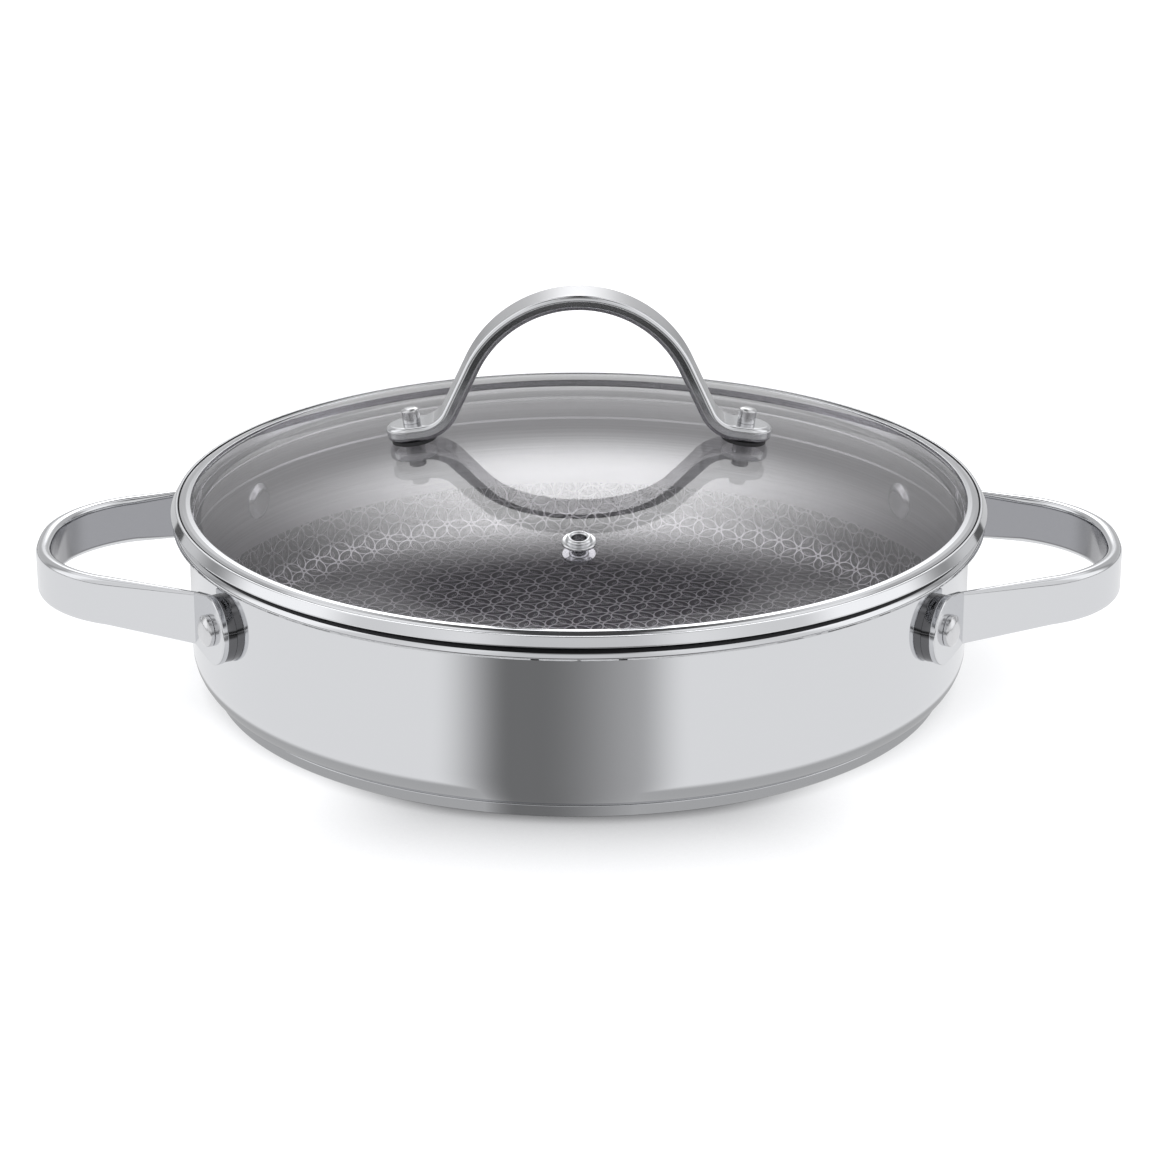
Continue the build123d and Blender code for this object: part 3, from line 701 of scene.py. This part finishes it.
class Shader:
    """The node tree of a material or of the world, emptied and ready to fill."""

    def __init__(self, owner):
        owner.use_nodes = True
        self.tree = owner.node_tree
        self.tree.nodes.clear()

    def node(self, kind, settings=None, inputs=None, output=0):
        """Adds a node: settings are its own choices, inputs its sockets' values or links."""
        node = self.tree.nodes.new(kind)
        for key, value in (settings or {}).items():
            setattr(node, key, value)
        for key, value in (inputs or {}).items():
            if isinstance(value, Link):
                self.tree.links.new(value.socket, node.inputs[key])
            else:
                node.inputs[key].default_value = value
        return Link(self.tree, node.outputs[output])

    def join(self, kind, *links):
        """Adds a node that takes links in the order of its sockets."""
        node = self.tree.nodes.new(kind)
        for slot, link in zip(node.inputs, links):
            self.tree.links.new(link.socket, slot)
        return Link(self.tree, node.outputs[0])

    def parts(self, vector):
        """x, y and z of a vector."""
        node = self.join("ShaderNodeSeparateXYZ", vector).socket.node
        return [Link(self.tree, output) for output in node.outputs]

    def place(self):
        """The surface point in metres, then its x, y and z."""
        point = self.node("ShaderNodeTexCoord", output="Object")
        return point, *self.parts(point)

    def noise(self, vector, scale, detail):
        return self.node("ShaderNodeTexNoise", inputs={"Vector": vector, "Scale": scale, "Detail": detail},
                         output="Fac")

    def bump(self, height, strength, distance):
        """Normals bent by a height; distance is the metres that a height of 1 stands for."""
        return self.node("ShaderNodeBump", inputs={"Height": height, "Strength": strength,
                                                   "Distance": distance}, output="Normal")

    def vector(self, x, y, z):
        return self.node("ShaderNodeCombineXYZ", inputs={"X": x, "Y": y, "Z": z})

    def emission(self, tone):
        return self.node("ShaderNodeEmission", inputs={"Color": self.grey(tone)})

    def blend(self, share, first, second):
        """Colours mixed by share: first at 0, second at 1."""
        node = self.tree.nodes.new("ShaderNodeMix")
        node.data_type = "RGBA"
        self.tree.links.new(share.socket, node.inputs["Factor"])
        colours = [s for s in node.inputs if s.type == "RGBA"]
        for slot, value in zip(colours, (first, second)):
            if isinstance(value, Link):
                self.tree.links.new(value.socket, slot)
            else:
                slot.default_value = (*value, 1.0)
        outputs = [s for s in node.outputs if s.type == "RGBA"]
        return Link(self.tree, outputs[0])

    def grey(self, tone):
        """A colour of one tone, a touch cooler than neutral."""
        return self.vector(tone * 0.985, tone * 0.99, tone)

    def finish(self, shader, kind="ShaderNodeOutputMaterial"):
        output = self.tree.nodes.new(kind)
        self.tree.links.new(shader.socket, output.inputs["Surface"])


# %% [markdown]
# ## Metals
#
# Stainless steel is nearly grey and reflects about two thirds of the light. What tells its
# finishes apart is roughness: the polished wall mirrors the studio, the brushed inside
# spreads it along fine rings, and the turned rivets are satin. Three steels are painted
# darker than steel is, as painted shade: the handle pads, the faces inside the handle loops,
# and the rim's groove and underside. Slow noise in the roughness keeps a mirror from looking
# computed, as wiping marks do on the real thing.


# %% Steel finishes
def steel(name, colour=(0.72, 0.725, 0.74), roughness=0.06, uneven=0.03, scale=18.0, rings=0.0,
          grain=0.0):
    """Metal whose roughness drifts by uneven, with optional turned rings and fine grain as bump."""
    material = bpy.data.materials.new(name)
    shader = Shader(material)
    point, x, y, z = shader.place()
    drift = shader.noise(point, scale, detail=3.0)
    inputs = {"Base Color": (*colour, 1.0), "Metallic": 1.0,
              "Roughness": roughness + uneven * drift}
    height = None
    if rings:
        radius = (x * x + y * y).root()
        turned = shader.noise(shader.vector(radius * 2600, z * 2600, drift * 0.6), 1.0, detail=2.0)
        height = turned * rings
    if grain:
        fine = shader.noise(point, 2600.0, detail=1.0) * grain
        height = fine if height is None else height + fine
    if height is not None:
        inputs["Normal"] = shader.bump(height, 0.5, 0.04 * mm)
    shader.finish(shader.node("ShaderNodeBsdfPrincipled", inputs=inputs))
    return material


polished = steel("polished_steel", roughness=0.05, uneven=0.035)
# Painted shade: the pads between the feet and the wall get near-black steel for the shade there.
pad_steel = steel("pad_steel", colour=(0.17, 0.17, 0.175), roughness=0.08, uneven=0.03, scale=60.0)
# Painted shade: the faces inside each handle loop get darker steel for the shade within the loop.
loop_inside_painted_shade = steel("handle_inside_painted_shade", colour=(0.50, 0.50, 0.515), roughness=0.12, uneven=0.05, scale=40.0)
brushed_top = steel("brushed_top", colour=(0.70, 0.70, 0.71), roughness=0.34, uneven=0.06, scale=60.0,
                    grain=0.4)
cast_polish = steel("handle_polish", roughness=0.09, uneven=0.05, scale=40.0)
satin = steel("satin_steel", colour=(0.70, 0.70, 0.71), roughness=0.17, uneven=0.08, scale=300.0,
              grain=0.6)
dull_steel = steel("dull_steel", colour=(0.55, 0.55, 0.56), roughness=0.3, uneven=0.1, scale=200.0,
                   grain=0.5)
# Painted shade: near-black steel for the rim's groove and the hollow under its bead.
shaded_steel = steel("shaded_steel", colour=(0.04, 0.04, 0.042), roughness=0.45, uneven=0.1, scale=200.0)
aluminium = steel("core_aluminium", colour=(0.80, 0.80, 0.82), roughness=0.35, uneven=0.1,
                  scale=120.0, rings=0.5)

# %% [markdown]
# ## The brushed inside and the patterned floor
#
# Above the cooking zone the inner wall is brushed round and round, and its steel is painted
# darker than the outer wall's, as painted shade inside the pan. The zone itself, the floor
# and the lower wall, is dark and carries fine raised circles that cross each other, with dots
# in their middles. The pattern is worked out on the surface unrolled outwards, so that it
# climbs the wall at the same size.


# %% Cooking surface
def cooking_surface(name, spacing=0.0105):
    """Two triangular lattices of touching circles, one moved so that its circles cross the first's."""
    material = bpy.data.materials.new(name)
    shader = Shader(material)
    point, x, y, z = shader.place()
    radius = (x * x + y * y + 1e-9).root()
    rise = (z - floor_height * mm).most(0.0)
    stretch = 1 + rise / radius
    u, v = x * stretch, y * stretch
    grid_turn = np.radians(12.0)
    cosine, sine = float(np.cos(grid_turn)), float(np.sin(grid_turn))
    across, along = (u * cosine + v * sine) / spacing, (v * cosine - u * sine) / spacing
    row_pair = 3 ** 0.5

    def from_centre(shift):
        """Distance to the nearest point of a triangular lattice of side 1, moved along by shift."""
        rows = (along + shift) / row_pair
        squares = []
        for half in (0.0, 0.5):
            side, up = (across + half).off_centre(), (rows + half).off_centre() * row_pair
            squares.append(side * side + up * up)
        return squares[0].least(squares[1]).root()

    first, second = from_centre(0.0), from_centre(1 / row_pair)
    circle = 0.49
    line = abs(first - circle).least(abs(second - circle)).ramp(0.028, 0.011)
    fine = (across * (turn * 7)).sine() * (along * (turn * 7)).sine()
    dots = abs(fine).ramp(0.45, 0.75) * first.ramp(0.17, 0.19) * first.ramp(0.29, 0.27)
    drift = shader.noise(point, 900.0, detail=2.0)
    raised = (line * (0.75 + 0.25 * drift)).most(dots * 0.7)

    zone = z.ramp(25.3 * mm, 24.7 * mm)
    mark = raised * zone
    turned = shader.noise(shader.vector(x * 9.0, y * 9.0, (radius - z) * 1500), 1.0, detail=4.0)
    coated = shader.blend(raised, (0.042, 0.041, 0.044), (0.70, 0.69, 0.71))
    # Painted shade: the brushed wall inside is darker steel than the outer wall, for the shade under the
    # lid.
    brushed_wall_painted_shade = shader.blend(turned.ramp(0.3, 0.7), (0.51, 0.51, 0.52), (0.60, 0.60, 0.61))
    colour = shader.blend(zone, brushed_wall_painted_shade, coated)
    rough = 0.30 + 0.10 * turned + zone * (0.08 - 0.16 * raised)
    metal = 1 - zone * (1 - raised) * 0.8
    bump = shader.bump(mark + turned * 0.07, 0.6, 0.12 * mm)
    shader.finish(shader.node("ShaderNodeBsdfPrincipled", inputs={
        "Base Color": colour, "Metallic": metal, "Roughness": rough, "Normal": bump,
        "Specular IOR Level": 0.2}))
    return material


cooking = cooking_surface("cooking_surface")

# %% [markdown]
# ## Glass and rubber
#
# The glass is shown by what it mirrors. Each face mirrors more as it is seen at a lower
# angle, which is Fresnel's law, and lets the rest straight through. Leaving out the slight
# bending keeps what is inside in its place. Seen from within the glass the law needs the
# inverse index, so the index is switched by the side that is looked at.


# %% Lid glass material
glass_index = 1.5


def clear_glass(name):
    material = bpy.data.materials.new(name)
    shader = Shader(material)
    behind = shader.node("ShaderNodeNewGeometry", output="Backfacing")
    index = glass_index - behind * (glass_index - 1 / glass_index)
    mirror_share = shader.node("ShaderNodeFresnel", inputs={"IOR": index})
    clear = shader.node("ShaderNodeBsdfTransparent", inputs={"Color": (0.973, 0.966, 0.978, 1.0)})
    gloss = shader.node("ShaderNodeBsdfGlossy", inputs={"Color": (1, 1, 1, 1), "Roughness": 0.012})
    shader.finish(shader.join("ShaderNodeMixShader", mirror_share, clear, gloss))
    return material


lid_clear = clear_glass("lid_clear_glass")


def black_rubber(name):
    """Moulded rubber: dark, with a fine mottle in its roughness."""
    material = bpy.data.materials.new(name)
    shader = Shader(material)
    point, *_ = shader.place()
    mottle = shader.noise(point, 900.0, detail=3.0)
    shader.finish(shader.node("ShaderNodeBsdfPrincipled", inputs={
        "Base Color": shader.blend(mottle, (0.012, 0.012, 0.013), (0.03, 0.03, 0.032)),
        "Roughness": 0.42 + 0.2 * mottle}))
    return material


rubber = black_rubber("black_rubber")


def clear_silicone(name):
    """Soft translucent silicone: pale, half see-through, with cloudy roughness."""
    material = bpy.data.materials.new(name)
    shader = Shader(material)
    point, *_ = shader.place()
    cloud = shader.noise(point, 400.0, detail=2.0)
    shader.finish(shader.node("ShaderNodeBsdfPrincipled", inputs={
        "Base Color": shader.blend(cloud, (0.42, 0.42, 0.43), (0.55, 0.55, 0.56)),
        "Roughness": 0.3 + 0.15 * cloud, "Alpha": 0.45}))
    return material


silicone = clear_silicone("clear_silicone")


# %% [markdown]
# ## Which face gets which metal
#
# One piece can carry several finishes. Its faces are picked by where their middles are and
# which way they face, and the picked ones take the piece's second material.


# %% Choosing faces
def dress(piece, *materials):
    piece.data.materials.clear()
    for material in materials:
        piece.data.materials.append(material)


def face_table(piece):
    """Middles, outward directions and distances from the pan's axis of all faces, one row a face."""
    table = []
    for key in ("center", "normal"):
        values = np.empty(len(piece.data.polygons) * 3)
        piece.data.polygons.foreach_get(key, values)
        table.append(values.reshape(-1, 3))
    return *table, np.hypot(table[0][:, 0], table[0][:, 1])


def choose_material(piece, mask):
    """Faces in the mask take the piece's second material."""
    piece.data.polygons.foreach_set("material_index", mask.astype(np.int32))
    print(piece.name, "has", int(mask.sum()), "faces in its second finish")


# %% The pan's finishes
dress(base, polished)
dress(shell, polished, cooking)
middles, normals, from_axis = face_table(shell)
faces_axis = (normals[:, :2] * middles[:, :2]).sum(axis=1) < 0
inside = (faces_axis & (from_axis > 100 * mm)) | (normals[:, 2] > 0.2)
below_lip = middles[:, 2] < 61.0 * mm
choose_material(shell, inside & below_lip)

# The faces inside each loop take the darker steel, which is painted shade.
for piece in (handle_right, handle_left):
    dress(piece, cast_polish, loop_inside_painted_shade)
    middles, normals, from_axis = face_table(piece)
    loop_middle = np.array([150 * mm * np.sign(middles[0, 0]), 0.0])
    faces_loop = ((loop_middle - middles[:, :2]) * normals[:, :2]).sum(axis=1) > 0.0
    broad = abs(normals[:, 2]) < 0.3
    past_feet = abs(middles[:, 0]) > 137 * mm
    choose_material(piece, faces_loop & broad & past_feet)

# %% The lid's finishes
dress(glass, lid_clear)
dress(eyelet, polished)
# The groove and the underside over the pan's lip take near-black steel, which is painted shade.
dress(rim, polished, shaded_steel)
middles, normals, from_axis = face_table(rim)
groove_radius, groove_reach = 143.8 * mm, 0.28 * mm
in_groove = (abs(from_axis - groove_radius) < groove_reach) & (middles[:, 2] > 68.5 * mm)
underside = (from_axis > 139.2 * mm) & (middles[:, 2] < 65.9 * mm) & (normals[:, 2] < 0.0)
choose_material(rim, in_groove | underside)

dress(arch, cast_polish, brushed_top)
middles, normals, from_axis = face_table(arch)
broad = abs(normals[:, 1]) < 0.25
outer = (normals[:, 2] > -0.2) & (middles[:, 0] * normals[:, 0] >= -0.1 * mm)
above_lugs = middles[:, 2] > 97.5 * mm
choose_material(arch, broad & outer & above_lugs)

# %% Fasteners, washers and the hidden pieces
for piece in (*rivets.values(), *posts.values()):
    dress(piece, satin)
finishes = {"base_core": aluminium, "handle_pad": pad_steel, "vent_ring": polished,
            "lid_seat_washer": rubber, "lid_under_washer": silicone, "lid_screw": dull_steel}
for name, node in frame["nodes"].items():
    for start, material in finishes.items():
        if name.startswith(start):
            dress(node, material)

# %% Every new piece rides on its body
for piece in (shell, base, handle_right, handle_left, *rivets.values()):
    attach(piece, "pan")
for piece in (glass, rim, eyelet, arch, *posts.values()):
    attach(piece, "lid")
slots = {shell: "shell_steel", base: "base_steel", handle_right: "handle_steel",
         handle_left: "handle_steel", glass: "lid_glass", rim: "rim_steel", eyelet: "vent_steel",
         arch: "lid_handle_steel"}
slots |= {piece: "rivet_steel" for piece in rivets.values()}
slots |= {piece: "fastener_steel" for piece in posts.values()}

# %% [markdown]
# ## The studio
#
# A mirror shows its surroundings, so the surroundings are designed: a white backdrop
# behind the pan, a softbox above it, darker air overhead, and a floor that mirrors show
# with one soft grey streak towards the front and a painted shadow round the pan's foot.
# The camera itself sees plain white.


# %% Floor
floor_reach = 8.0
fan_middle = 0.072


def mirrored_floor(shader, x, y):
    """Tone of the floor as metal and glass mirror it: white, less the darkest of five soft patches.
    The patches lie by distance from the pan's axis and by direction from a point fan_middle
    behind it, where 0 degrees is straight to the front. The patch close round the pan's foot
    is a painted shadow, as this glow takes no real shadow."""
    angle = x.direction(-1 * (y + fan_middle))
    away = (x * x + y * y).root()
    streak = angle.ramp(-42.0, -19.0) * 0.5 * (angle.ramp(32.0, 16.0) + angle.ramp(30.0, -12.0))
    streak = streak * y.ramp(-0.54, -0.42)
    under_arch = y.ramp(-0.27, -0.34) * y.ramp(-0.66, -0.56) * abs(x).ramp(0.20, 0.11) * 1.2
    behind = abs(angle).ramp(125.0, 142.0) * 0.35
    # Painted shadow: the mirrored floor darkens close round the pan's foot.
    painted_foot_shadow = away.ramp(0.150, 0.143) * 0.6
    horizon = away.ramp(0.75, 1.0) * 1.1
    return 0.93 - 0.74 * streak.most(behind).most(under_arch).most(painted_foot_shadow).most(horizon)


def studio_floor():
    """A floor that the camera sees as white with a painted shadow of the pan: its glow is dimmed
    where less of the sky is open to it, and dimmed harder in front so the shadow is deepest there."""
    corners = floor_reach * np.array([[[-1, -1, 0], [1, -1, 0]], [[-1, 1, 0], [1, 1, 0]]], float)
    floor = piece_from_grids("floor", [(corners, False, False)])
    floor.data.polygons.foreach_set("use_smooth", [False])
    material = bpy.data.materials.new("studio_floor")
    shader = Shader(material)
    point, x, y, z = shader.place()
    open_sky = shader.node("ShaderNodeAmbientOcclusion", {"samples": 16}, {"Distance": 0.35}, output="AO")
    # Painted shadow: the occlusion is raised to a higher power towards the front.
    painted_shadow_power = 1.4 - 1.1 * abs(x.direction(-1 * (y + fan_middle))).ramp(35.0, 75.0)
    lit = shader.node("ShaderNodeBsdfDiffuse", inputs={"Color": (0.25, 0.25, 0.255, 1.0)})
    seen = shader.join("ShaderNodeAddShader", lit, shader.emission(1.06 * open_sky ** painted_shadow_power))
    glossy_ray = shader.node("ShaderNodeLightPath", output="Is Glossy Ray")
    mirrored = shader.emission(mirrored_floor(shader, x, y))
    shader.finish(shader.join("ShaderNodeMixShader", glossy_ray, seen, mirrored))
    dress(floor, material)
    return floor


floor = studio_floor()


# %% Surroundings
def studio_tone(elevation, spread):
    """Light from each direction: elevation over level, and spread sideways from straight behind
    the pan, both in degrees."""
    backdrop = 0.50 + 0.15 * elevation.ramp(9.0, 3.0)
    backdrop = backdrop * spread.ramp(75.0, 50.0) * elevation.ramp(44.0, 38.0)
    softbox = spread.ramp(22.0, 2.0) * elevation.ramp(16.0, 30.0) * elevation.ramp(48.0, 39.0) * 3.0
    strips = spread.ramp(13.0, 24.0) * spread.ramp(75.0, 60.0) * elevation.ramp(38.0, 48.0) * 0.95
    strips = strips * elevation.ramp(88.0, 74.0)
    sides = spread.ramp(60.0, 80.0) * spread.ramp(150.0, 120.0) * elevation.ramp(75.0, 50.0)
    sides = sides * (0.75 + 0.4 * spread.ramp(115.0, 100.0))
    front = spread.ramp(120.0, 150.0) * elevation.ramp(82.0, 68.0) * elevation.ramp(2.0, 7.0)
    front = front * (0.64 + 0.25 * spread.ramp(165.0, 145.0))
    front = front * (1 - 0.7 * spread.ramp(150.0, 168.0) * elevation.ramp(44.0, 54.0))
    return 0.07 + backdrop + softbox + strips + sides + front


def surroundings():
    """The world: studio_tone by direction for mirrors, and plain white for the camera."""
    world = bpy.data.worlds.new("studio")
    bpy.context.scene.world = world
    shader = Shader(world)
    x, y, z = shader.parts(shader.node("ShaderNodeTexCoord", output="Generated"))
    tone = studio_tone(z.arc_sine(), abs(x.direction(y)))
    studio = shader.node("ShaderNodeBackground", inputs={"Color": shader.grey(tone)})
    white = shader.node("ShaderNodeBackground", inputs={"Color": (1, 1, 1, 1)})
    camera_ray = shader.node("ShaderNodeLightPath", output="Is Camera Ray")
    shader.finish(shader.join("ShaderNodeMixShader", camera_ray, studio, white),
                  kind="ShaderNodeOutputWorld")


surroundings()


# %% Key light
def soft_lamp(name, place, size, power):
    lamp_data = bpy.data.lights.new(name, "AREA")
    lamp_data.shape = "DISK"
    lamp_data.size = size
    lamp_data.energy = power
    lamp = bpy.data.objects.new(name, lamp_data)
    bpy.context.scene.collection.objects.link(lamp)
    lamp.location = place
    lamp.visible_glossy = False
    aim = Vector((0, 0, 0.04)) - Vector(place)
    lamp.rotation_euler = aim.to_track_quat("-Z", "Y").to_euler()
    return lamp


soft_lamp("overhead", (-0.4, -0.5, 1.6), 1.2, 14.0)

# %% View settings
bpy.context.scene.view_settings.view_transform = "Standard"
